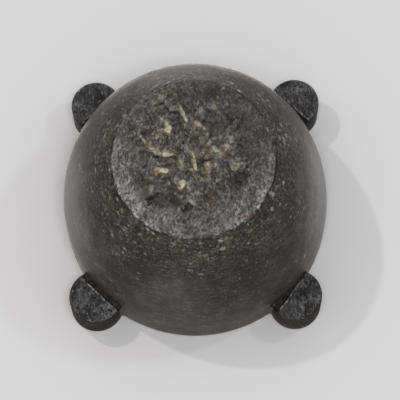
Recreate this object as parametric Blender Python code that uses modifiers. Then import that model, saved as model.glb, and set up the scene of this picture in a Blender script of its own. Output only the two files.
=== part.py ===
"""Round stone mortar (molcajete) with four half-round lugs at the rim and a pecked foot.

The mortar stands upright on the origin: z = 0 is the surface that it stands on, +Z runs up its axis,
and the lugs point along the diagonals of X and Y. All lengths are in metres. The real mortar is
carved from one stone. Here its bowl, its foot and each lug are solids of their own.
"""

import math

import bmesh
import bpy

# The outside
BELLY_RADIUS = 0.1015  # the widest circle of the body
BELLY_HEIGHT = 0.111  # how high that circle is
HEIGHT = 0.140
LOWER_HALF_AXIS = 0.1379  # vertical half axis of the ellipse that the body follows below the belly
UPPER_HALF_AXIS = 0.380  # and above it, where the wall is nearly upright

# The foot, which is the bottom slice of the body
FOOT_HEIGHT = 0.012
FOOT_RECESS_RADIUS = 0.045  # the foot is hollowed inside this radius, so it stands on a ring
FOOT_RECESS_DEPTH = 0.002
FOOT_EDGE = 0.001  # wear on its outer edge

# The hollow
MOUTH_RADIUS = 0.080
HOLLOW_DEPTH = 0.102
LIP_ROUND = 0.004  # rounding of the rim's two edges

# The lugs
LUG_RADIUS = 0.0197
LUG_CENTRE_RADIUS = 0.1085  # from the mortar's axis to the lug's axis
LUG_HEIGHT = 0.033
LUG_EDGE = 0.0015
LUG_AZIMUTHS = {
    "lug_back_right": 45,
    "lug_back_left": 135,
    "lug_front_left": 225,
    "lug_front_right": 315,
}

GAP = 0.0003  # kept between solids that touch
AROUND = 64  # facets round the mortar
LUG_FACETS = 36
SHARP = math.radians(40)  # steeper edges than this stay crisp
MERGE = 0.00001

# Linear colour and roughness of each dressing of the stone
SKIN = ((0.055, 0.050, 0.045), 0.45)
PECKED = ((0.105, 0.096, 0.086), 0.75)
LUG_STONE = ((0.050, 0.049, 0.049), 0.60)


def outer_radius(z):
    """The body's radius at a height."""
    half_axis = LOWER_HALF_AXIS if z < BELLY_HEIGHT else UPPER_HALF_AXIS
    return BELLY_RADIUS * math.sqrt(1 - ((z - BELLY_HEIGHT) / half_axis) ** 2)


def outside(top, bottom, count):
    """Points down the body's outside between two heights, both included."""
    heights = [top + (bottom - top) * i / count for i in range(count + 1)]
    return [(outer_radius(z), z) for z in heights]


def arc(centre, radius, start, end, count):
    """Points on an arc in the XZ plane, angles in degrees from +X towards +Z."""
    angles = [math.radians(start + (end - start) * i / (count - 1)) for i in range(count)]
    return [(centre[0] + radius * math.cos(a), centre[1] + radius * math.sin(a)) for a in angles]


def hollow_profile(count=15):
    """The hollow from its floor on the axis to just under the lip, a quarter of an ellipse."""
    last = math.acos(LIP_ROUND / HOLLOW_DEPTH)
    turns = [last * i / count for i in range(count + 1)]
    return [(MOUTH_RADIUS * math.sin(t), HEIGHT - HOLLOW_DEPTH * math.cos(t)) for t in turns]


def bowl_profile():
    """Half the bowl's section: the hollow, the rim, the outside, and the flat that the foot meets."""
    lip_z = HEIGHT - LIP_ROUND
    inner_lip = arc((MOUTH_RADIUS + LIP_ROUND, lip_z), LIP_ROUND, 160, 90, 4)
    outer_lip = arc((outer_radius(lip_z) - LIP_ROUND, lip_z), LIP_ROUND, 90, 0, 4)
    side = outside(lip_z, FOOT_HEIGHT + GAP, 17)[1:]
    return hollow_profile() + inner_lip + outer_lip + side + [(0, FOOT_HEIGHT + GAP)]


def foot_profile():
    """Half the foot's section, from its top on the axis round to the middle of its hollowed sole."""
    sole = [
        (outer_radius(0) - FOOT_EDGE / 2, 0),
        (FOOT_RECESS_RADIUS, 0),
        (FOOT_RECESS_RADIUS * 0.85, FOOT_RECESS_DEPTH * 0.8),
        (0, FOOT_RECESS_DEPTH),
    ]
    return [(0, FOOT_HEIGHT)] + outside(FOOT_HEIGHT, FOOT_EDGE, 3) + sole


def stone_material(name, finish):
    """A stone material with its own colour and roughness."""
    colour, roughness = finish
    material = bpy.data.materials.new(name)
    material.use_nodes = True
    shader = material.node_tree.nodes["Principled BSDF"]
    shader.inputs["Base Color"].default_value = (*colour, 1)
    shader.inputs["Roughness"].default_value = roughness
    shader.inputs["Metallic"].default_value = 0
    return material


def turned(name, profile, collection):
    """A solid of revolution about Z from a profile of (radius, z), whose outer side runs downwards."""
    mesh = bpy.data.meshes.new(name)
    edges = [(i, i + 1) for i in range(len(profile) - 1)]
    mesh.from_pydata([(r, 0, z) for r, z in profile], edges, [])
    piece = bpy.data.objects.new(name, mesh)
    collection.objects.link(piece)
    screw = piece.modifiers.new("turn", "SCREW")
    screw.axis = "Z"
    screw.steps = screw.render_steps = AROUND
    screw.use_merge_vertices = True
    screw.merge_threshold = MERGE
    screw.use_smooth_shade = True
    return piece


def body_cutter(collection):
    """The body's outer form, larger by the gap and running past the rim, to shape the lugs' backs."""
    past = 0.01
    lowest = HEIGHT - LUG_HEIGHT - past
    side = [(r + GAP, z) for r, z in outside(HEIGHT, lowest, 12)]
    top = [(0, HEIGHT + past), (outer_radius(HEIGHT) + GAP, HEIGHT + past)]
    cutter = turned("body_cutter", top + side + [(0, lowest)], collection)
    cutter.hide_render = True
    cutter.display_type = "WIRE"
    return cutter


def lug(name, azimuth, cutter, collection):
    """A short upright cylinder flush with the rim, cut to lie against the body."""
    mesh = bpy.data.meshes.new(name)
    form = bmesh.new()
    bmesh.ops.create_cone(
        form,
        cap_ends=True,
        segments=LUG_FACETS,
        radius1=LUG_RADIUS,
        radius2=LUG_RADIUS,
        depth=LUG_HEIGHT,
    )
    form.to_mesh(mesh)
    form.free()
    piece = bpy.data.objects.new(name, mesh)
    collection.objects.link(piece)
    turn = math.radians(azimuth)
    across, along = LUG_CENTRE_RADIUS * math.cos(turn), LUG_CENTRE_RADIUS * math.sin(turn)
    piece.location = (across, along, HEIGHT - LUG_HEIGHT / 2)
    piece.rotation_euler.z = turn
    bevel = piece.modifiers.new("worn_edge", "BEVEL")
    bevel.width = LUG_EDGE
    bevel.segments = 2
    bevel.limit_method = "ANGLE"
    bevel.angle_limit = SHARP
    cut = piece.modifiers.new("against_body", "BOOLEAN")
    cut.operation = "DIFFERENCE"
    cut.object = cutter
    mesh.shade_smooth()
    mesh.set_sharp_from_angle(angle=SHARP)
    return piece


def main():
    for old in list(bpy.data.objects):
        bpy.data.objects.remove(old)
    parts = bpy.data.collections.new("molcajete")
    cutters = bpy.data.collections.new("cutters")
    bpy.context.scene.collection.children.link(parts)
    bpy.context.scene.collection.children.link(cutters)
    bowl = turned("bowl", bowl_profile(), parts)
    bowl.data.materials.append(stone_material("bowl_stone", SKIN))
    foot = turned("foot", foot_profile(), parts)
    foot.data.materials.append(stone_material("foot_stone", PECKED))
    cutter = body_cutter(cutters)
    for name, azimuth in LUG_AZIMUTHS.items():
        piece = lug(name, azimuth, cutter, parts)
        piece.data.materials.append(stone_material(name + "_stone", LUG_STONE))


main()
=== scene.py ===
"""Looks of the round stone mortar with four lugs, built on the sizes of its CAD model.

The mortar is one carved stone, so its pieces share one skin: every surface is a turned form whose
points are then moved by the same functions of place, and the materials read the same coordinates.
All lengths are in metres. +Z runs up the mortar's axis, and z = 0 is what it stands on.
"""

import math

import bpy
import numpy as np
from mathutils import Matrix, Vector, noise


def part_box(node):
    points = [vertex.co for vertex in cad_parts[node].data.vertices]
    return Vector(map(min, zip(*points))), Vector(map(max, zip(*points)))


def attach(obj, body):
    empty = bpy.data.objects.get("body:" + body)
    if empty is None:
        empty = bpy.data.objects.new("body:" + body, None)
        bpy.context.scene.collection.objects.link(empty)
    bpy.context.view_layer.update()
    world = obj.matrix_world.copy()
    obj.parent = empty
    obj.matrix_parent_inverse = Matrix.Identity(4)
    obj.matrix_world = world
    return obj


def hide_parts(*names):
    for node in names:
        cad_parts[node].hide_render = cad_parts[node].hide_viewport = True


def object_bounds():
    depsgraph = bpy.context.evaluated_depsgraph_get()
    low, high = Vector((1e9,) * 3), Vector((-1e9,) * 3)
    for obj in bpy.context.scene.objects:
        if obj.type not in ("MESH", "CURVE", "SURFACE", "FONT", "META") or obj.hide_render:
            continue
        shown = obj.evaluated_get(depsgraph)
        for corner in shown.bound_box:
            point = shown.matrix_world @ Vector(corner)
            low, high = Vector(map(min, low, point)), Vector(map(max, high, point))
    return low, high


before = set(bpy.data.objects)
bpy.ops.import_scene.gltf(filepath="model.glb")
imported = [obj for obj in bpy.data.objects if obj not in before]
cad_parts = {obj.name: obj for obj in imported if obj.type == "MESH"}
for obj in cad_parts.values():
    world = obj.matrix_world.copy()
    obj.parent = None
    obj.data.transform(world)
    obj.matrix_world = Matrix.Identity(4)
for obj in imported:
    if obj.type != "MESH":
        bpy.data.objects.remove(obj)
cad_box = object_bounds()

# Sizes read from the frame
HEIGHT = cad_box[1][2]
BELLY_RADIUS = cad_box[1][0]
FOOT_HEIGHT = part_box("foot")[1][2]

# Sizes of the CAD model that its boxes don't give
BELLY_HEIGHT = 0.111
LOWER_HALF_AXIS = 0.1379
UPPER_HALF_AXIS = 0.380
MOUTH_RADIUS = 0.080
HOLLOW_DEPTH = 0.102
LIP_ROUND = 0.004
LUG_RADIUS = 0.0197

# How each lug was cut: how much larger in radius than its box, how much farther out, and how many
# degrees its step is turned
LUG_CARVING = {
    "lug_front_left": (-0.0005, 0.0, 0),
    "lug_front_right": (-0.0008, 0.0014, 0),
    "lug_back_left": (0.0006, -0.0003, 0),
    "lug_back_right": (0.0003, -0.0003, -8),
}
LUG_NAMES = sorted(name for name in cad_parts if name.startswith("lug"))

# Carving that the CAD model leaves out
LUG_EDGE = 0.0020  # rounding of the lugs' edges
LUG_SUNK = 0.0006  # how far the lugs' tops lie below the rim
LUG_FACE_END = 0.0038  # how far the lugs' faces reach from their axes towards the body
NOTCH_DEPTH = 0.0024  # how far the face steps back beside the body
FILLET = 0.0045  # rounding of the corner between the wall and a lug's side
PAINTED_SHADE_REACH = 0.006  # how far from that corner the painted shade reaches
SPECKLED_HEIGHT = 0.050  # below it the skin turns rougher towards the foot
RIM_DIP = 0.0003  # how far the rim lies below its CAD height on average

# The foot's sole, seen from below: a rubbed ring round a pecked recess. The recess lies off centre.
RECESS_RADIUS = 0.0485
RECESS_SHIFT = 0.008
RECESS_SLOPE = 0.0055
RECESS_DEPTH = 0.0026
MARK_DEPTH = 0.0010
ARRIS_REACH = 0.0022  # how far from the foot's edge its chips reach

# Chisel marks in the recess: x, y, length and width in millimetres, direction in degrees from +X
# towards +Y, and how much of the pale inside of the stone shows, or, if below 0, how much painted shade
# darkens the hollow
CHISEL_MARKS = (
    (-19, -26, 8, 5, 80, 1.0),
    (-26, -21, 10, 3, 95, 0.8),
    (-32, -11, 21, 3, 48, 0.7),
    (-18, -5, 10, 4, 165, 0.8),
    (-25, 8, 13, 5, 170, 1.0),
    (-9, 19, 9, 6, 140, 0.9),
    (-31, 21, 5, 4, 90, 0.5),
    (-8, -37, 17, 3, 65, 0.8),
    (3, -28, 7, 5, 30, 0.5),
    (8, -23, 12, 3, 60, 0.5),
    (0, -1, 19, 3, 75, 0.8),
    (18, -6, 13, 3, 55, 0.8),
    (23, -10, 7, 6, 20, 0.6),
    (10, 6, 9, 7, 120, 0.5),
    (9, 14, 8, 7, 60, 0.3),
    (32, 5, 8, 3, 130, 0.4),
    (16, -40, 12, 4, 50, 0.3),
    (-10, 2, 8, 5, 90, 0.4),
    (-1, 33, 6, 3, 50, 0.4),
    # The marks below 0 are painted shade in deep hollows
    (35, 14, 13, 10, 80, -0.80),
    (-20, 31, 28, 12, 5, -0.68),
    (20, 25, 15, 9, 60, -0.45),
    (-6, 11, 12, 7, 10, -0.30),
)

# Mesh fineness
AROUND = 440
LUG_AROUND = 168
OUTSIDE_STEP = 0.0011
SOLE_STEP = 0.0007
HOLLOW_STEP = 0.0018
LUG_STEP = 0.0007
SHARP = math.radians(44)

# The dressings of the stone. Colours are linear.
#   dark, light       colours of the grain, from its lowest to its highest part
#   grain, relief     how much the fine grain tells in that colour, and how much painted shade and highlight the carved dips and ridges get
#   cool, rust        how strongly bluish and rusty patches show
#   cover, gathered   how much of the stone is specks, and how much more where it is rough
#   speck, girth      how strongly specks show, and how far they stretch round the mortar, if they do
#   scratches, scuffs how strongly thin streaks and pale smudges show
#   bump              how strong the finest relief is
#   roughness, sheen, shine    the shader's own settings
SKIN_LOOK = {
    "dark": (0.0205, 0.0160, 0.0131), "light": (0.078, 0.0640, 0.0540),
    "grain": 1.5, "relief": 0.28, "cool": 0.0, "rust": 0.35,
    "cover": 0.375, "gathered": 0.31, "speck": 0.90, "girth": 0.070,
    "scratches": 0.55, "scuffs": 0.60, "bump": 0.35,
    "roughness": 0.46, "sheen": 0.05, "shine": 0.25,
}
SOLE_LOOK = {
    "dark": (0.044, 0.0400, 0.0365), "light": (0.345, 0.324, 0.290),
    "grain": 1.6, "relief": 0.50, "cool": 0.60, "rust": 0.70,
    "cover": 0.50, "gathered": 0.0, "speck": 0.75, "girth": 0,
    "scratches": 0.65, "scuffs": 0.20, "bump": 0.8,
    "roughness": 0.60, "sheen": 0.03, "shine": 0.35,
}
LUG_LOOK = {
    "dark": (0.0135, 0.0132, 0.0142), "light": (0.122, 0.121, 0.127),
    "grain": 1.5, "relief": 0.24, "cool": 0.4, "rust": 0.15,
    "cover": 0.42, "gathered": 0.0, "speck": 1.0, "girth": 0,
    "scratches": 0.95, "scuffs": 0.20, "bump": 0.8,
    "roughness": 0.54, "sheen": 0.03, "shine": 0.40,
}
LUG_SIDE_LOOK = {
    **SKIN_LOOK,
    "cover": 0.45, "girth": 0, "scratches": 0.10,
    "roughness": 0.60, "sheen": 0.0, "shine": 0.06,
}
SHEEN_ROUGHNESS = 0.45
BUMP_HEIGHT = 0.0004
SPECK_LENGTH = 1.45  # how many times as long as wide the specks are where they don't run round
SCRATCH_LENGTH = 10
SCRATCH_GIRTH = 0.010
FROST_LENGTH = 1.8

# Colours of what lies on the stone or shows through it, and of its painted shade and highlights
BLUISH = (0.050, 0.055, 0.064, 1)
SCUFF = (0.20, 0.188, 0.164, 1)
DUST = (0.20, 0.190, 0.168, 1)
FINE_SPECK = (0.24, 0.228, 0.200, 1)
COARSE_SPECK = (0.44, 0.42, 0.36, 1)
SCRATCH = (0.27, 0.260, 0.240, 1)
# Frosted wear, also the colour of the painted glints and highlights on edges
FROST_AND_HIGHLIGHT = (0.62, 0.61, 0.60, 1)
RUST = (0.095, 0.055, 0.032, 1)
BROWN_CHIP = (0.22, 0.155, 0.080, 1)
CREAMY_CHIP = (0.84, 0.79, 0.60, 1)
PAINTED_SHADE_AND_DARK_STONE = (0.012, 0.011, 0.010, 1)

# Lights: the direction from the mortar's middle, distance, width, power and colour
WHITE = (1.0, 1.0, 1.0)
WARM = (1.0, 0.975, 0.945)
LIGHTS = {
    "below_front": ((0.05, 0.25, -1.0), 2.0, 0.60, 10.4, WHITE),
    "below_left": ((-0.50, -0.32, -1.0), 1.6, 0.05, 3.1, (1.0, 0.985, 0.96)),
    "below_right": ((0.66, -0.26, -1.0), 1.6, 0.12, 1.7, (0.88, 0.94, 1.0)),
    "above_front": ((-0.1, -0.90, 0.30), 1.7, 0.9, 9.5, WARM),
    "above_left": ((-0.8, -0.20, 0.8), 1.7, 0.9, 3.9, WARM),
    "above_right": ((0.64, -0.24, 0.72), 1.8, 0.9, 4.2, WHITE),
    "above_back": ((-0.2, 0.9, 0.5), 1.8, 0.9, 4.4, WARM),
    "overhead": ((-0.06, -0.42, 1.0), 2.0, 1.0, 9, WARM),
}
WORLD_COLOUR = (1.0, 0.995, 0.99, 1)
WORLD_STRENGTH = 0.37

# The stage: a floor that shows from above and a backdrop that shows from below
STAGE_SIZE = 24.0
FLOOR_COLOUR = (0.84, 0.83, 0.82)
FLOOR_HEIGHT = -0.0002
BACKDROP_COLOUR = (0.96, 0.95, 0.955)
BACKDROP_HEIGHT = HEIGHT + 0.0006

# The camera: below the mortar, looking up at its foot
CAMERA_DISTANCE = 2.142
CAMERA_TILT = math.radians(15.9)  # off the mortar's axis
CAMERA_TURN = math.radians(-1.76)
CAMERA_ROLL = math.radians(2.25)
CAMERA_ASIDE = (0.0037, 0.0004)  # the aim's distance right of and above the middle of the belly
LENS = 249.4


# Forms


def outer_radius(z):
    """The body's radius at a height."""
    half_axis = np.where(z < BELLY_HEIGHT, LOWER_HALF_AXIS, UPPER_HALF_AXIS)
    return BELLY_RADIUS * np.sqrt(1 - ((z - BELLY_HEIGHT) / half_axis) ** 2)


def spaced(path, step):
    """The same path of (radius, z) points with one about every step."""
    path = np.asarray(path, float)
    along = np.concatenate([[0], np.cumsum(np.hypot(*np.diff(path, axis=0).T))])
    count = max(2, round(along[-1] / step) + 1)
    at = np.linspace(0, along[-1], count)
    return np.column_stack([np.interp(at, along, path[:, 0]), np.interp(at, along, path[:, 1])])


def outside_path(top, bottom):
    """Down the body's outside between two heights."""
    z = np.linspace(top, bottom, 200)
    return np.column_stack([outer_radius(z), z])


def arc_path(radius, z, size, start, end):
    """An arc about (radius, z), angles in degrees from outward towards up."""
    turn = np.radians(np.linspace(start, end, 24))
    return np.column_stack([radius + size * np.cos(turn), z + size * np.sin(turn)])


def hollow_path():
    """The hollow's wall from its floor on the axis up to the lip."""
    turn = np.linspace(0, math.acos(LIP_ROUND / HOLLOW_DEPTH), 200)
    return np.column_stack([MOUTH_RADIUS * np.sin(turn), HEIGHT - HOLLOW_DEPTH * np.cos(turn)])


def smooth_step(value, low, high):
    """0 below low and 1 above high, with a soft change between."""
    share = np.clip((value - low) / (high - low), 0, 1)
    return share * share * (3 - 2 * share)


def revolve(profile, around):
    """Points and faces of a closed turned form. The profile starts and ends on the axis."""
    turn = np.linspace(0, 2 * math.pi, around, endpoint=False)
    rows = profile[1:-1]
    ring = np.stack([np.cos(turn), np.sin(turn)], axis=1)
    points = np.concatenate([rows[:, None, :1] * ring, np.repeat(rows[:, None, 1:], around, 1)], 2)
    first, last = len(rows) * around, len(rows) * around + 1
    poles = [(0, 0, profile[0, 1]), (0, 0, profile[-1, 1])]
    faces = []
    for row in range(len(rows) - 1):
        a, b = row * around, (row + 1) * around
        faces += [(a + i, b + i, b + (i + 1) % around, a + (i + 1) % around) for i in range(around)]
    end = (len(rows) - 1) * around
    faces += [(first, i, (i + 1) % around) for i in range(around)]
    faces += [(end + i, last, end + (i + 1) % around) for i in range(around)]
    return np.vstack([points.reshape(-1, 3), poles]), faces


def piece_from(name, points, faces, layers):
    """A mesh object, smooth but for its sharp edges, with a value at each point for each layer."""
    mesh = bpy.data.meshes.new(name)
    mesh.from_pydata(points.tolist(), [], faces)
    mesh.shade_smooth()
    mesh.set_sharp_from_angle(angle=SHARP)
    for layer, values in layers.items():
        attribute = mesh.attributes.new(layer, "FLOAT", "POINT")
        attribute.data.foreach_set("value", np.asarray(values, np.float32))
    piece = bpy.data.objects.new(name, mesh)
    bpy.context.scene.collection.objects.link(piece)
    return piece


# Noise of place


def waves(points, size, octaves=1, shift=0.0):
    """Smooth noise of about -1 to 1, whose waves are about size long."""
    places = (points / size + shift).tolist()
    return np.array([noise.fractal(place, 1.0, 2.0, octaves) for place in places])


def cells(points, size, shift=0.0):
    """The cell of a loose pattern that each point lies in: the way from its centre and its lot.

    The way is in cell sizes, and the lot is a number from 0 to 1 that is the cell's own.
    """
    places = points / size + shift
    centres = np.array([noise.voronoi(place)[1][0] for place in places.tolist()])
    lot = np.modf(np.abs(np.sin(centres @ (12.71, 31.17, 7.47))) * 4375.85)[0]
    return places - centres, lot


def dents(points, size, share, shift=0.0):
    """Round dents about size across, 1 at the middle, in a share of the cells of a loose pattern."""
    away, lot = cells(points, size, shift)
    return np.where(lot < share, np.clip(1 - 2.2 * np.linalg.norm(away, axis=1), 0, 1), 0)


def facets(points, size, shift=0.0):
    """Broken ground: faces about size across, each tilted its own way, and each face's lot."""
    bent = points.copy()
    bent[:, 0] += 0.35 * size * waves(points, 0.7 * size, 2, shift + 1.3)
    bent[:, 1] += 0.35 * size * waves(points, 0.7 * size, 2, shift + 4.7)
    away, lot = cells(bent, size, shift)
    turn = 60 * lot
    return size * (away[:, 0] * np.cos(turn) + away[:, 1] * np.sin(turn)), lot


# The stone's surfaces


def skin(points):
    """How far the smoothed outside stands out, how rough it is, and how high within its grain."""
    height = points[:, 2] + 0.012 * waves(points, 0.02, 2, 3.1)
    rough = 1 - smooth_step(height, -0.004, SPECKLED_HEIGHT)
    pits = dents(points, 0.0030, 0.6)
    grain = waves(points, 0.0024, 3)
    rise = 0.0005 * waves(points, 0.07) + 0.00012 * waves(points, 0.009, 2)
    rise += 0.00014 * rough * grain - (0.00010 + 0.00035 * rough) * pits
    # ridge: painted shade in the pits and painted highlight on the grain's highs
    ridge = np.clip(0.5 + 0.5 * grain - 0.6 * pits * rough, 0, 1)
    return rise, rough, ridge


def chisel(points):
    """Depth, paleness and painted shade of the chisel marks at points of the sole."""
    depth = np.zeros(len(points))
    pale = np.zeros(len(points))
    dark = np.zeros(len(points))
    ragged = 0.34 * waves(points, 0.0035, 3, 7.7)
    for x, y, length, width, direction, show in CHISEL_MARKS:
        turn = math.radians(direction)
        offset = points[:, :2] * 1000 - (x, y)
        along = offset @ (math.cos(turn), math.sin(turn)) / (length / 2)
        across = offset @ (-math.sin(turn), math.cos(turn)) / (width / 2)
        near = np.clip(1.35 - np.hypot(along, across) + ragged, 0, 1)
        depth = np.maximum(depth, near * MARK_DEPTH)
        pale = np.maximum(pale, show * smooth_step(near, 0.18, 0.55))
        dark = np.maximum(dark, -show * smooth_step(near, 0.10, 0.60))
    return depth, pale, dark * (1 - pale)


def sole(points):
    """The sole's depth, how pecked it is, and its layers of pale stone, dark clasts with painted shade
    in its darkest hollows, and ridges that take painted shade and highlight.

    The chips crowd in its middle, and the stone is calmer, with less relief, towards +X and -Y.
    """
    radius = np.hypot(points[:, 0], points[:, 1])
    reach = np.hypot(points[:, 0], points[:, 1] + RECESS_SHIFT) + 0.0060 * waves(points, 0.014, 4)
    pecked = 1 - smooth_step(reach, RECESS_RADIUS - RECESS_SLOPE, RECESS_RADIUS + RECESS_SLOPE)
    middle = 1 - smooth_step(radius + 0.008 * waves(points, 0.02, 2, 2.2), 0.018, 0.046)
    to_calm = 0.7 * (points[:, 0] - points[:, 1]) + 0.008 * waves(points, 0.02, 3, 5.5)
    calm = smooth_step(to_calm, 0.020, 0.040)
    marks, pale, dark = chisel(points)
    pecked = np.maximum(pecked, np.clip(1.3 * dark, 0, 1))
    broad, broad_lot = facets(points, 0.0095, 5.3)
    fine, fine_lot = facets(points, 0.0028, 2.3)
    grain = waves(points, 0.0018, 3, 1.9)
    depth = pecked * (RECESS_DEPTH + 0.0010 * waves(points, 0.012, 3) + 0.30 * broad + marks)
    depth += (0.22 + 0.78 * pecked * (1 - 0.6 * calm)) * (0.24 * fine + 0.00020 * grain)
    chips = smooth_step(fine_lot, 0.86, 0.93) * (0.08 + 0.92 * middle)
    stain = 0.16 * smooth_step(waves(points, 0.0045, 4, 6.1), -0.05, 0.45) * middle
    clasts = smooth_step(broad_lot, 0.20, 0.14) * (0.2 + 0.8 * middle)
    # Lighter on higher facets and darker where they sink: painted light and shade, with each facet's own
    # tone
    height = 0.16 * (fine_lot - 0.5) + 0.14 * (broad_lot - 0.5) - 60 * fine - 30 * broad * pecked
    layers = {
        "pale": np.maximum(pale, np.maximum(0.38 * chips, stain)) * pecked,
        # crease: dark clasts, the calmer stone's darker tone, and painted shade in the darkest hollows
        "crease": pecked * np.maximum.reduce([0.42 * clasts * (1 - pale), 0.10 * calm, dark]),
        "ridge": np.clip(0.52 + (height + 0.28 * grain) * (1 - 0.6 * calm) - 0.24 * calm, 0, 1),
        "rough": 0.8 + 0.2 * pecked - 0.5 * calm,
    }
    inside = smooth_step(radius, outer_radius(0.0), outer_radius(0.0) - 0.0015)
    return np.clip(depth, 0, None) * inside, pecked, layers


def arris_chips(points):
    """How near the foot's edge each point is, and how much of it is chipped away there."""
    edge = np.hypot(np.hypot(points[:, 0], points[:, 1]) - outer_radius(0.0), points[:, 2])
    near = 1 - smooth_step(edge, 0, ARRIS_REACH)
    bites = np.clip(waves(points, 0.010, 3, 9.1), 0, 1)
    nicks = dents(points, 0.006, 0.5, 3.3)
    return edge, near * (0.0002 + 0.0012 * bites + 0.0006 * nicks)


def lug_form(name):
    """A lug's axis, its radius and the way its step faces, as it was cut and not as its box gives it."""
    low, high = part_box(name)
    side = [math.copysign(1, low[i] + high[i]) for i in range(2)]
    outer = [high[i] if side[i] > 0 else low[i] for i in range(2)]
    centre = np.array([outer[i] - side[i] * LUG_RADIUS for i in range(2)])
    growth, outward_step, skew = LUG_CARVING[name]
    turn = math.atan2(centre[1], centre[0]) + math.radians(skew)
    cut_way = np.array([math.cos(turn), math.sin(turn)])
    return centre * (1 + outward_step / np.hypot(*centre)), LUG_RADIUS + growth, cut_way


def beside_lugs(points):
    """The level distance from each point to the nearest lug's side, and 0 within the lug."""
    away = np.full(len(points), 1.0)
    for name in LUG_NAMES:
        centre, radius, _ = lug_form(name)
        away = np.minimum(away, np.hypot(*(points[:, :2] - centre).T) - radius)
    return np.clip(away, 0, None)


def crease(points):
    """How much painted shade darkens the corner between the body and a lug: 1 in the corner, fading to 0
    away from it.
    """
    below = np.clip(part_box(LUG_NAMES[0])[0][2] - points[:, 2], 0, None)
    return 1 - smooth_step(np.hypot(beside_lugs(points), below), 0, PAINTED_SHADE_REACH)


def fillet(points):
    """How far the wall swells out to meet the lugs' sides in a round corner."""
    short = FILLET - np.clip(beside_lugs(points), 0, FILLET)
    swell = FILLET - np.sqrt(FILLET**2 - short**2)
    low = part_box(LUG_NAMES[0])[0][2] + NOTCH_DEPTH
    height = points[:, 2]
    fades = smooth_step(height, low, low + 0.003) * smooth_step(height, HEIGHT - 0.003, HEIGHT - 0.008)
    return swell * fades


# Pieces


def radial(points, slope):
    """Directions outward from the axis that also point down by slope."""
    radius = np.maximum(np.hypot(points[:, 0], points[:, 1]), 1e-9)
    out = np.column_stack([points[:, 0] / radius, points[:, 1] / radius, np.full(len(points), -slope)])
    return out / np.maximum(np.linalg.norm(out, axis=1), 1e-9)[:, None]


def outward(points):
    """The outside's own direction: that of the ellipse that its section follows."""
    z = points[:, 2]
    half_axis = np.where(z < BELLY_HEIGHT, LOWER_HALF_AXIS, UPPER_HALF_AXIS)
    slope = (BELLY_HEIGHT - z) / half_axis**2 * BELLY_RADIUS**2 / np.maximum(outer_radius(z), 1e-6)
    return radial(points, slope)


def bowl_runs():
    """The bowl's section: up the hollow and over its lip, across the rim, and down the outside."""
    lip_z = HEIGHT - LIP_ROUND
    lip_radius = float(outer_radius(lip_z)) - LIP_ROUND
    inner_lip = arc_path(MOUTH_RADIUS + LIP_ROUND, lip_z, LIP_ROUND, 178, 90)
    outer_lip = arc_path(lip_radius, lip_z, LIP_ROUND, 90, 0)
    inside = spaced(np.vstack([hollow_path(), inner_lip]), HOLLOW_STEP)
    rim = spaced(np.vstack([inner_lip[-1:], outer_lip]), OUTSIDE_STEP)[1:]
    side = spaced(outside_path(lip_z, FOOT_HEIGHT), OUTSIDE_STEP)[1:]
    return inside, rim, side


def hollow_ground(points):
    """How each point of the hollow is moved by its wear, away from the mouth's middle."""
    centre = np.array([0, 0, HEIGHT])
    away = (points - centre) / np.linalg.norm(points - centre, axis=1)[:, None]
    ground = 0.0004 * waves(points, 0.014, 3) + 0.0005 * dents(points, 0.005, 0.5)
    return away * ground[:, None]


def make_bowl():
    """The body above the foot, with its rim and hollow."""
    inside, rim, side = bowl_runs()
    profile = np.vstack([inside, rim, side, [(0, FOOT_HEIGHT)]])
    points, faces = revolve(profile, AROUND)
    bottom = len(profile) - 2
    row = np.minimum(np.arange(len(points)) // AROUND, bottom - 1)
    row[-2:] = (0, bottom)  # the poles
    is_side = (row >= len(inside) + len(rim) - 1) & (row < bottom)
    is_inside = row < len(inside) - 1
    is_rim = ~is_side & ~is_inside & (row < bottom)

    rise, rough, ridge = skin(points)
    moved = points.copy()
    moved[is_side] += (outward(points) * rise[:, None])[is_side]
    moved[is_side] += (radial(points, 0) * fillet(points)[:, None])[is_side]
    moved[is_rim, 2] -= RIM_DIP * (1 + waves(points[is_rim], 0.012, 3))
    moved[is_inside] += hollow_ground(points[is_inside])

    lip = smooth_step(points[:, 2], HEIGHT - 0.010, HEIGHT - 0.001)
    layers = {
        "rough": np.where(is_inside, 0.75, rough),
        "wear_and_highlights": np.where(is_side, 0.15 * lip, 0.35 * lip),
        # painted shade in the corners between the wall and the lugs
        "crease": crease(points) * is_side,
        "ridge": ridge,
    }
    return piece_from("bowl_stone", moved, faces, layers)


def ring_wear_and_edge_glints(points, ring, near_arris):
    """How rubbed the standing ring is, with painted glints along the foot's edge: most towards +Y, but
    for a gap there.
    """
    lean = smooth_step(points[:, 1] - 0.25 * points[:, 0], -0.030, 0.034)
    lean *= 1 - 0.85 * np.exp(-(((points[:, 0] - 0.006) / 0.022) ** 2))
    rubbed = smooth_step(waves(points, 0.009, 3, 4.4), -0.30, 0.25)
    patches = 0.30 + 0.70 * smooth_step(waves(points, 0.010, 4, 8.3), -0.25, 0.25)
    # The second term is painted glints along the foot's edge
    return np.maximum(ring * (0.05 + 0.70 * lean) * patches, 2.4 * near_arris * lean * rubbed)


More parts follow.
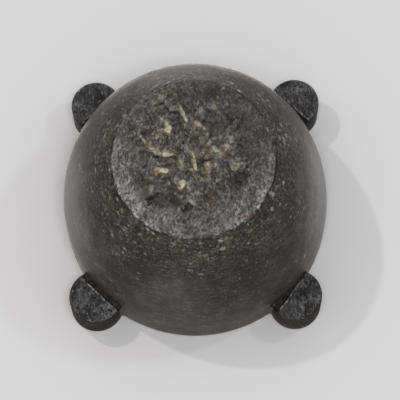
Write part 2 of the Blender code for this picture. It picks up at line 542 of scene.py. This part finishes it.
def make_foot():
    """The bottom slice of the body, with its chipped edge, standing ring and pecked recess."""
    side = spaced(outside_path(FOOT_HEIGHT, 0.0), SOLE_STEP)
    bottom = spaced([(float(outer_radius(0.0)), 0.0), (0.0, 0.0)], SOLE_STEP)[1:]
    profile = np.vstack([[(0, FOOT_HEIGHT)], side, bottom])
    points, faces = revolve(profile, AROUND)
    top_pole = len(points) - 2
    is_side = np.arange(len(points)) < len(side) * AROUND
    is_sole = ~is_side
    is_sole[top_pole] = False

    rise, rough, ridge = skin(points)
    edge, chips = arris_chips(points)
    rise = rise * smooth_step(edge, 0, ARRIS_REACH) - chips
    depth, pecked, sole_layers = sole(points)
    moved = points.copy()
    moved[is_side] += (outward(points) * rise[:, None])[is_side]
    moved[is_sole] += radial(points, 0)[is_sole] * -chips[is_sole, None]
    moved[is_sole, 2] += depth[is_sole] + 0.4 * chips[is_sole]
    moved[:, 2] = np.maximum(moved[:, 2], 0)

    near_arris = 1 - smooth_step(edge, 0.0002, 0.0012)
    # A painted shadow line on the skin just outside the foot's edge, broken into irregular patches
    edge_shade_patches = smooth_step(waves(points, 0.007, 3, 7.1), -0.4, 0.2)
    painted_edge_shade = (1 - smooth_step(edge, 0.0012, 0.0040)) * edge_shade_patches
    layers = {
        "pale": np.where(is_sole, sole_layers["pale"], 0),
        "crease": np.where(is_sole, sole_layers["crease"], 0.95 * painted_edge_shade * (1 - near_arris)),
        "ridge": np.where(is_sole, sole_layers["ridge"], ridge),
        "rough": np.where(is_sole, sole_layers["rough"], rough),
        "wear_and_highlights": ring_wear_and_edge_glints(points, is_sole * (1 - pecked), near_arris),
    }
    piece = piece_from("foot_stone", moved, faces, layers)
    first_sole_face = (len(side) - 1) * AROUND
    looks = [0] * first_sole_face + [1] * (len(faces) - first_sole_face)
    piece.data.polygons.foreach_set("material_index", looks)
    return piece


def lug_path(radius, low, top):
    """A lug's section, with both its edges rounded."""
    edge = radius - LUG_EDGE
    return np.vstack([
        [(0, top)],
        arc_path(edge, top - LUG_EDGE, LUG_EDGE, 90, 0),
        arc_path(edge, low + LUG_EDGE, LUG_EDGE, 0, -90),
        [(0, low)],
    ])


def lug_face_wear_and_highlight(points, past_step, past_edge, notch):
    """How rubbed a lug's dressed face is along its edge and in patches, with a painted highlight along
    its step.
    """
    chipped = smooth_step(waves(points, 0.005, 3, 8.8), -0.1, 0.5)
    edge_wear = 1 - smooth_step(abs(past_edge + 0.0004), 0, 0.0009)
    # A painted highlight along the step
    painted_step_highlight = 1 - smooth_step(abs(past_step + 0.0011), 0, 0.0009)
    rubbed = (1 - notch) * smooth_step(waves(points, 0.011, 3, 6.6), -0.05, 0.45)
    return np.maximum.reduce([0.9 * chipped * edge_wear, 1.1 * painted_step_highlight, 0.32 * rubbed])


def choose_lug_looks(mesh):
    """Gives the faces that look down, level and up the mesh's first, second and third material."""
    up = np.array([polygon.normal.z for polygon in mesh.polygons])
    looks = np.select([up < -0.5, up < 0.5], [0, 1], 2)
    mesh.polygons.foreach_set("material_index", looks.astype(np.int32))


def make_lug(name):
    """A short upright cylinder with a flat dressed face below, sunk into the body's wall."""
    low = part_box(name)[0][2]
    top = HEIGHT - LUG_SUNK
    centre, full, cut_way = lug_form(name)
    points, faces = revolve(spaced(lug_path(full, low, top), LUG_STEP), LUG_AROUND)
    lug_radius = np.hypot(points[:, 0], points[:, 1])
    out = radial(points, 0)
    points[:, :2] += centre

    on_side = smooth_step(lug_radius, full - 0.0012, full - 0.0002)
    side = (on_side > 0.5).astype(float)
    facing = np.where(points[:, 2] < (low + top) / 2, 1, -1)  # 1 below and -1 on top
    ragged = 0.0007 * waves(points, 0.006, 3, 2.7)
    past_step = (centre - points[:, :2]) @ cut_way - LUG_FACE_END + ragged
    notch = smooth_step(past_step, -0.0009, 0.0009) * (points[:, 2] < low + 0.004)
    grain = waves(points, 0.0020, 4)
    broken, lot = facets(points, 0.0034, 3.9)
    dressed = 0.00022 * grain + 0.16 * broken
    rise = 0.00035 * waves(points, 0.03) + 0.00008 * waves(points, 0.006, 2)
    moved = points + out * (rise * on_side)[:, None]
    moved[:, 2] += (1 - on_side) * facing * (NOTCH_DEPTH * notch - dressed)
    moved[:, 2] += on_side * notch * NOTCH_DEPTH * (points[:, 2] < low + 0.002)

    face_wear_and_highlight = lug_face_wear_and_highlight(points, past_step, lug_radius - full, notch)
    # face_ridge: lighter where the facets stand out, painted light and shade with each facet's own tone
    face_ridge = np.clip(0.5 + 0.6 * grain + 0.3 * (lot - 0.5) + 100 * broken, 0, 1)
    # Painted shade: darker beside the body, in the notch of the step and low on the lug's side
    from_body = np.hypot(points[:, 0], points[:, 1]) - outer_radius(points[:, 2])
    near_body = 1 - smooth_step(from_body, 0.0005, 0.0045)
    low_side = side * (1 - smooth_step(points[:, 2], low + 0.006, low + 0.030))
    layers = {
        "rough": np.where(on_side < 0.5, 0.7, 0.15) * (facing > 0),
        "wear_and_highlights": (1 - side) * np.where(facing > 0, face_wear_and_highlight, 0.35),
        "ridge": np.where(side > 0.5, 0.4, face_ridge),
        "crease": np.maximum.reduce([near_body * (0.5 + 0.5 * on_side), 0.75 * notch, 0.22 * low_side]),
    }
    piece = piece_from(name + "_stone", moved, faces, layers)
    choose_lug_looks(piece.data)
    return piece


# Materials


class Graph:
    """Builds one material's nodes. An input that is a socket is linked, and any other is set."""

    def __init__(self, name):
        self.material = bpy.data.materials.new(name)
        self.material.use_nodes = True
        self.tree = self.material.node_tree
        self.shader = self.tree.nodes["Principled BSDF"]

    def put(self, socket, value):
        if isinstance(value, bpy.types.NodeSocket):
            self.tree.links.new(value, socket)
        else:
            socket.default_value = value

    def add(self, kind, inputs, **settings):
        node = self.tree.nodes.new(kind)
        for key, value in settings.items():
            setattr(node, key, value)
        for key, value in inputs.items():
            self.put(node.inputs[key], value)
        return node

    def layer(self, name):
        """A value that the mesh carries at each point."""
        return self.add("ShaderNodeAttribute", {}, attribute_name=name).outputs["Fac"]

    def place(self):
        """The object's own coordinates, which all the pieces share."""
        return self.add("ShaderNodeTexCoord", {}).outputs["Object"]

    def noise(self, vector, size, detail=2.0, roughness=0.5):
        inputs = {"Vector": vector, "Scale": 1 / size, "Detail": detail, "Roughness": roughness}
        return self.add("ShaderNodeTexNoise", inputs).outputs["Fac"]

    def sum(self, first, second):
        return self.add("ShaderNodeMath", {0: first, 1: second}, operation="ADD").outputs[0]

    def times(self, first, second):
        return self.add("ShaderNodeMath", {0: first, 1: second}, operation="MULTIPLY").outputs[0]

    def less(self, first, second):
        return self.add("ShaderNodeMath", {0: first, 1: second}, operation="SUBTRACT").outputs[0]

    def band(self, value, low, high, to_low=0.0, to_high=1.0):
        """The value's way from low to high, as a number from to_low to to_high."""
        inputs = {"Value": value, "From Min": low, "From Max": high, "To Min": to_low, "To Max": to_high}
        return self.add("ShaderNodeMapRange", inputs, clamp=True).outputs["Result"]

    def mix(self, share, first, second):
        """The first colour, turned into the second by the share."""
        inputs = {0: share, 6: first, 7: second}
        return self.add("ShaderNodeMix", inputs, data_type="RGBA").outputs[2]

    def round_place(self, place, girth):
        """Coordinates that run along the section as the place does, and round the axis by girth."""
        parts = self.add("ShaderNodeSeparateXYZ", {0: place})
        flat = self.add("ShaderNodeCombineXYZ", {0: parts.outputs[0], 1: parts.outputs[1]})
        length = self.add("ShaderNodeVectorMath", {0: flat.outputs[0]}, operation="LENGTH")
        unit = self.add("ShaderNodeVectorMath", {0: flat.outputs[0]}, operation="NORMALIZE")
        run = self.sum(length.outputs["Value"], parts.outputs[2])
        slow = self.add("ShaderNodeVectorMath", {0: unit.outputs[0], "Scale": girth}, operation="SCALE")
        lift = self.add("ShaderNodeCombineXYZ", {2: run})
        both = {0: slow.outputs[0], 1: lift.outputs[0]}
        return self.add("ShaderNodeVectorMath", both, operation="ADD").outputs[0]

    def drawn_out(self, place, length):
        """Coordinates in which everything is length times as long one way, level with the ground."""
        turn = (0, 0, math.radians(35))
        bent = self.warped(place, 0.02, 0.01)
        inputs = {"Vector": bent, "Rotation": turn, "Scale": (1, 1 / length, 1)}
        return self.add("ShaderNodeMapping", inputs).outputs[0]

    def warped(self, vector, size, amount):
        """Coordinates pushed about by noise, so that shapes read from them turn irregular."""
        inputs = {"Vector": vector, "Scale": 1 / size, "Detail": 2.0}
        push = self.add("ShaderNodeTexNoise", inputs).outputs["Color"]
        middle = self.add("ShaderNodeVectorMath", {0: push, 1: (0.5, 0.5, 0.5)}, operation="SUBTRACT")
        scaled = {0: middle.outputs[0], "Scale": amount}
        offset = self.add("ShaderNodeVectorMath", scaled, operation="SCALE").outputs[0]
        return self.add("ShaderNodeVectorMath", {0: vector, 1: offset}, operation="ADD").outputs[0]

    def specks(self, vector, size, cover):
        """Separate specks of many sizes and strengths, about size apart. Cover is from 0 to 1."""
        place = self.warped(vector, size * 0.5, size * 0.7)
        pattern = self.add("ShaderNodeTexVoronoi", {"Vector": place, "Scale": 1 / size})
        lot = self.add("ShaderNodeSeparateColor", {0: pattern.outputs["Color"]})
        inside = self.less(self.less(cover, lot.outputs[0]), pattern.outputs["Distance"])
        strength = self.band(self.times(lot.outputs[1], lot.outputs[1]), 0.0, 1.0, 0.22, 1.0)
        return self.times(self.band(inside, -0.05, 0.10), strength)


def stretched(graph, place, look, girth, length):
    """Coordinates drawn out round the mortar if the look has a girth, or else along one level way."""
    return graph.round_place(place, girth) if look["girth"] else graph.drawn_out(place, length)


def grain_colour(graph, place, look, grain):
    """Fine grain in soft patches, with painted shade in the carved dips and painted highlight on the
    ridges, bluish here and there.
    """
    patch = graph.noise(place, 0.016, 4.0)
    fine_part = graph.times(graph.less(grain, 0.5), look["grain"])
    # Painted shade in the dips and painted highlight on the ridges
    ridge_part = graph.times(graph.less(graph.layer("ridge"), 0.5), look["relief"])
    blend = graph.band(graph.sum(graph.sum(patch, fine_part), ridge_part), 0.27, 0.76)
    colour = graph.mix(graph.times(blend, blend), (*look["dark"], 1), (*look["light"], 1))
    cool = graph.times(graph.band(graph.noise(place, 0.015, 3.0), 0.48, 0.62), look["cool"])
    return graph.mix(cool, colour, BLUISH)


def speckled_colour(graph, place, look, speck_place, colour):
    """The colour with scuffs and drifts of specks on it, and where its larger specks are."""
    rough = graph.layer("rough")
    drift = graph.band(graph.noise(place, 0.010, 3.0), 0.30, 0.70, -0.20, 0.20)
    cover = graph.sum(graph.sum(drift, graph.times(rough, look["gathered"])), look["cover"])
    dust = graph.specks(speck_place, 0.0013, graph.sum(cover, 0.12))
    fine = graph.specks(speck_place, 0.0019, cover)
    coarse = graph.specks(speck_place, 0.0042, graph.less(cover, 0.15))
    scuffs = graph.band(graph.noise(speck_place, 0.0030, 4.0, 0.7), 0.52, 0.68, 0.0, look["scuffs"])
    colour = graph.mix(graph.times(scuffs, rough), colour, SCUFF)
    colour = graph.mix(graph.times(dust, 0.45 * look["speck"]), colour, DUST)
    colour = graph.mix(graph.times(fine, look["speck"]), colour, FINE_SPECK)
    colour = graph.mix(graph.times(coarse, look["speck"]), colour, COARSE_SPECK)
    return colour, graph.sum(fine, coarse)


def worn_colour(graph, place, look, colour):
    """The colour with scratches, frosted wear with painted highlights, rust, pale chips, and painted
    shade with dark stone laid over it.
    """
    streak_place = stretched(graph, place, look, SCRATCH_GIRTH, SCRATCH_LENGTH)
    streak = graph.noise(streak_place, 0.0011, 3.0, 0.55)
    scratches = graph.times(graph.band(streak, 0.60, 0.72), look["scratches"])
    colour = graph.mix(scratches, colour, SCRATCH)
    frost_place = graph.drawn_out(graph.warped(place, 0.004, 0.003), FROST_LENGTH)
    frost = graph.band(graph.noise(frost_place, 0.0016, 3.0, 0.6), 0.44, 0.60)
    drifts = graph.band(graph.noise(place, 0.010, 4.0, 0.65), 0.36, 0.58, 0.10, 1.0)
    # Frosted wear, and painted glints and highlights along the foot's edge and the lugs' steps
    colour = graph.mix(graph.times(graph.layer("wear_and_highlights"), graph.times(frost, drifts)), colour, FROST_AND_HIGHLIGHT)
    rust = graph.times(graph.band(graph.noise(place, 0.008, 3.0), 0.53, 0.66), look["rust"])
    colour = graph.mix(graph.times(rust, graph.layer("rough")), colour, RUST)
    chip = graph.mix(graph.band(graph.noise(place, 0.005, 3.0), 0.40, 0.60), BROWN_CHIP, CREAMY_CHIP)
    broken = graph.band(graph.noise(place, 0.0026, 3.0, 0.65), 0.34, 0.50, 0.55, 1.0)
    colour = graph.mix(graph.times(graph.layer("pale"), broken), colour, chip)
    # The crease layer darkens it: painted shade in corners, hollows and beside the foot's edge, and the
    # sole's dark clasts
    return graph.mix(graph.times(graph.layer("crease"), 0.8), colour, PAINTED_SHADE_AND_DARK_STONE)


def stone_material(name, look):
    """Stone whose look is set by its numbers, and by each point's layers of wear with painted
    highlights, painted shade with dark stone, and chips.
    """
    graph = Graph(name)
    place = graph.place()
    speck_place = stretched(graph, place, look, look["girth"], SPECK_LENGTH)
    grain = graph.noise(speck_place, 0.0020, 4.0, 0.68)
    colour = grain_colour(graph, place, look, grain)
    colour, specks = speckled_colour(graph, place, look, speck_place, colour)
    colour = worn_colour(graph, place, look, colour)

    dull = graph.band(grain, 0.3, 0.7, look["roughness"] - 0.08, look["roughness"] + 0.06)
    height = graph.less(grain, graph.times(specks, 0.4))
    bump = {"Strength": look["bump"], "Distance": BUMP_HEIGHT, "Height": height}
    settings = {
        "Base Color": colour,
        "Roughness": graph.sum(dull, graph.times(graph.layer("rough"), 0.14)),
        "Normal": graph.add("ShaderNodeBump", bump).outputs["Normal"],
        "Sheen Weight": look["sheen"],
        "Sheen Roughness": SHEEN_ROUGHNESS,
        "Specular IOR Level": look["shine"],
    }
    for socket, value in settings.items():
        graph.put(graph.shader.inputs[socket], value)
    return graph.material


# Stage


def one_sided_plane(name, z, seen_from, colour):
    """A pale level plane that the camera sees from one side only, and that no other ray sees."""
    reach = STAGE_SIZE / 2
    mesh = bpy.data.meshes.new(name)
    corners = [(-reach, -reach), (reach, -reach), (reach, reach), (-reach, reach)]
    order = corners if seen_from == "above" else corners[::-1]
    mesh.from_pydata([(x, y, z) for x, y in order], [], [(0, 1, 2, 3)])
    plane = bpy.data.objects.new(name, mesh)
    bpy.context.scene.collection.objects.link(plane)
    graph = Graph(name)
    graph.put(graph.shader.inputs["Base Color"], (*colour, 1))
    graph.put(graph.shader.inputs["Roughness"], 0.9)
    graph.put(graph.shader.inputs["Specular IOR Level"], 0.1)
    back = graph.add("ShaderNodeNewGeometry", {}).outputs["Backfacing"]
    clear = graph.add("ShaderNodeBsdfTransparent", {}).outputs[0]
    faces = {0: back, 1: graph.shader.outputs[0], 2: clear}
    both = graph.add("ShaderNodeMixShader", faces).outputs[0]
    graph.put(graph.tree.nodes["Material Output"].inputs["Surface"], both)
    mesh.materials.append(graph.material)
    plane.visible_shadow = False
    plane.visible_diffuse = False
    plane.visible_glossy = False


def make_stage():
    """The floor, the backdrop and the light from all round."""
    one_sided_plane("floor", FLOOR_HEIGHT, "above", FLOOR_COLOUR)
    one_sided_plane("backdrop", BACKDROP_HEIGHT, "below", BACKDROP_COLOUR)
    world = bpy.data.worlds.new("studio")
    bpy.context.scene.world = world
    world.use_nodes = True
    background = world.node_tree.nodes["Background"]
    background.inputs["Color"].default_value = WORLD_COLOUR
    background.inputs["Strength"].default_value = WORLD_STRENGTH


def soft_light(name, direction, distance, width, power, colour):
    """A square area light that shines at the mortar's middle from a direction.

    One below the floor leaves no gloss, or it would gleam on the foot of a mortar seen from above.
    """
    middle = Vector((0, 0, HEIGHT / 2))
    data = bpy.data.lights.new(name, "AREA")
    data.size = width
    data.energy = power
    data.color = colour
    light = bpy.data.objects.new(name, data)
    bpy.context.scene.collection.objects.link(light)
    light.location = middle + Vector(direction).normalized() * distance
    light.rotation_euler = (middle - light.location).to_track_quat("-Z", "Y").to_euler()
    light.visible_glossy = direction[2] > 0


def make_camera():
    """The camera, with the picture's up towards -Y and its right towards +X."""
    toward = Vector((0, math.sin(CAMERA_TILT), -math.cos(CAMERA_TILT)))
    up = Vector((0, -math.cos(CAMERA_TILT), -math.sin(CAMERA_TILT)))
    turned = Matrix.Rotation(CAMERA_TURN, 3, "Z")
    toward, up = turned @ toward, turned @ up
    up = Matrix.Rotation(-CAMERA_ROLL, 3, toward) @ up
    right = up.cross(toward)
    aim = Vector((0, 0, BELLY_HEIGHT)) + right * CAMERA_ASIDE[0] + up * CAMERA_ASIDE[1]
    data = bpy.data.cameras.new("camera")
    data.lens = LENS
    data.clip_end = 50
    camera = bpy.data.objects.new("camera", data)
    bpy.context.scene.collection.objects.link(camera)
    rotation = Matrix((right, up, toward)).transposed().to_4x4()
    camera.matrix_world = Matrix.Translation(aim + toward * CAMERA_DISTANCE) @ rotation
    bpy.context.scene.camera = camera


def main():
    """Builds the pieces, hangs them from the root, hides the CAD parts they stand in for, gives each its
    looks, and sets the stage, lights and camera.
    """
    skin_stone = stone_material("skin_stone", SKIN_LOOK)
    sole_stone = stone_material("sole_stone", SOLE_LOOK)
    lug_stone = stone_material("lug_stone", LUG_LOOK)
    lug_side_stone = stone_material("lug_side_stone", LUG_SIDE_LOOK)
    pieces = [
        (make_bowl(), "bowl", "bowl_stone", [skin_stone]),
        (make_foot(), "foot", "foot_stone", [skin_stone, sole_stone]),
    ]
    lug_looks = [lug_stone, lug_side_stone, skin_stone]
    pieces += [(make_lug(name), name, "lug_stone", lug_looks) for name in LUG_NAMES]
    for piece, node, slot, looks in pieces:
        for look in looks:
            piece.data.materials.append(look)
        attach(piece, "root")
        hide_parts(node)
    make_stage()
    for name, settings in LIGHTS.items():
        soft_light(name, *settings)
    make_camera()
    bpy.context.scene.view_settings.view_transform = "Standard"


main()
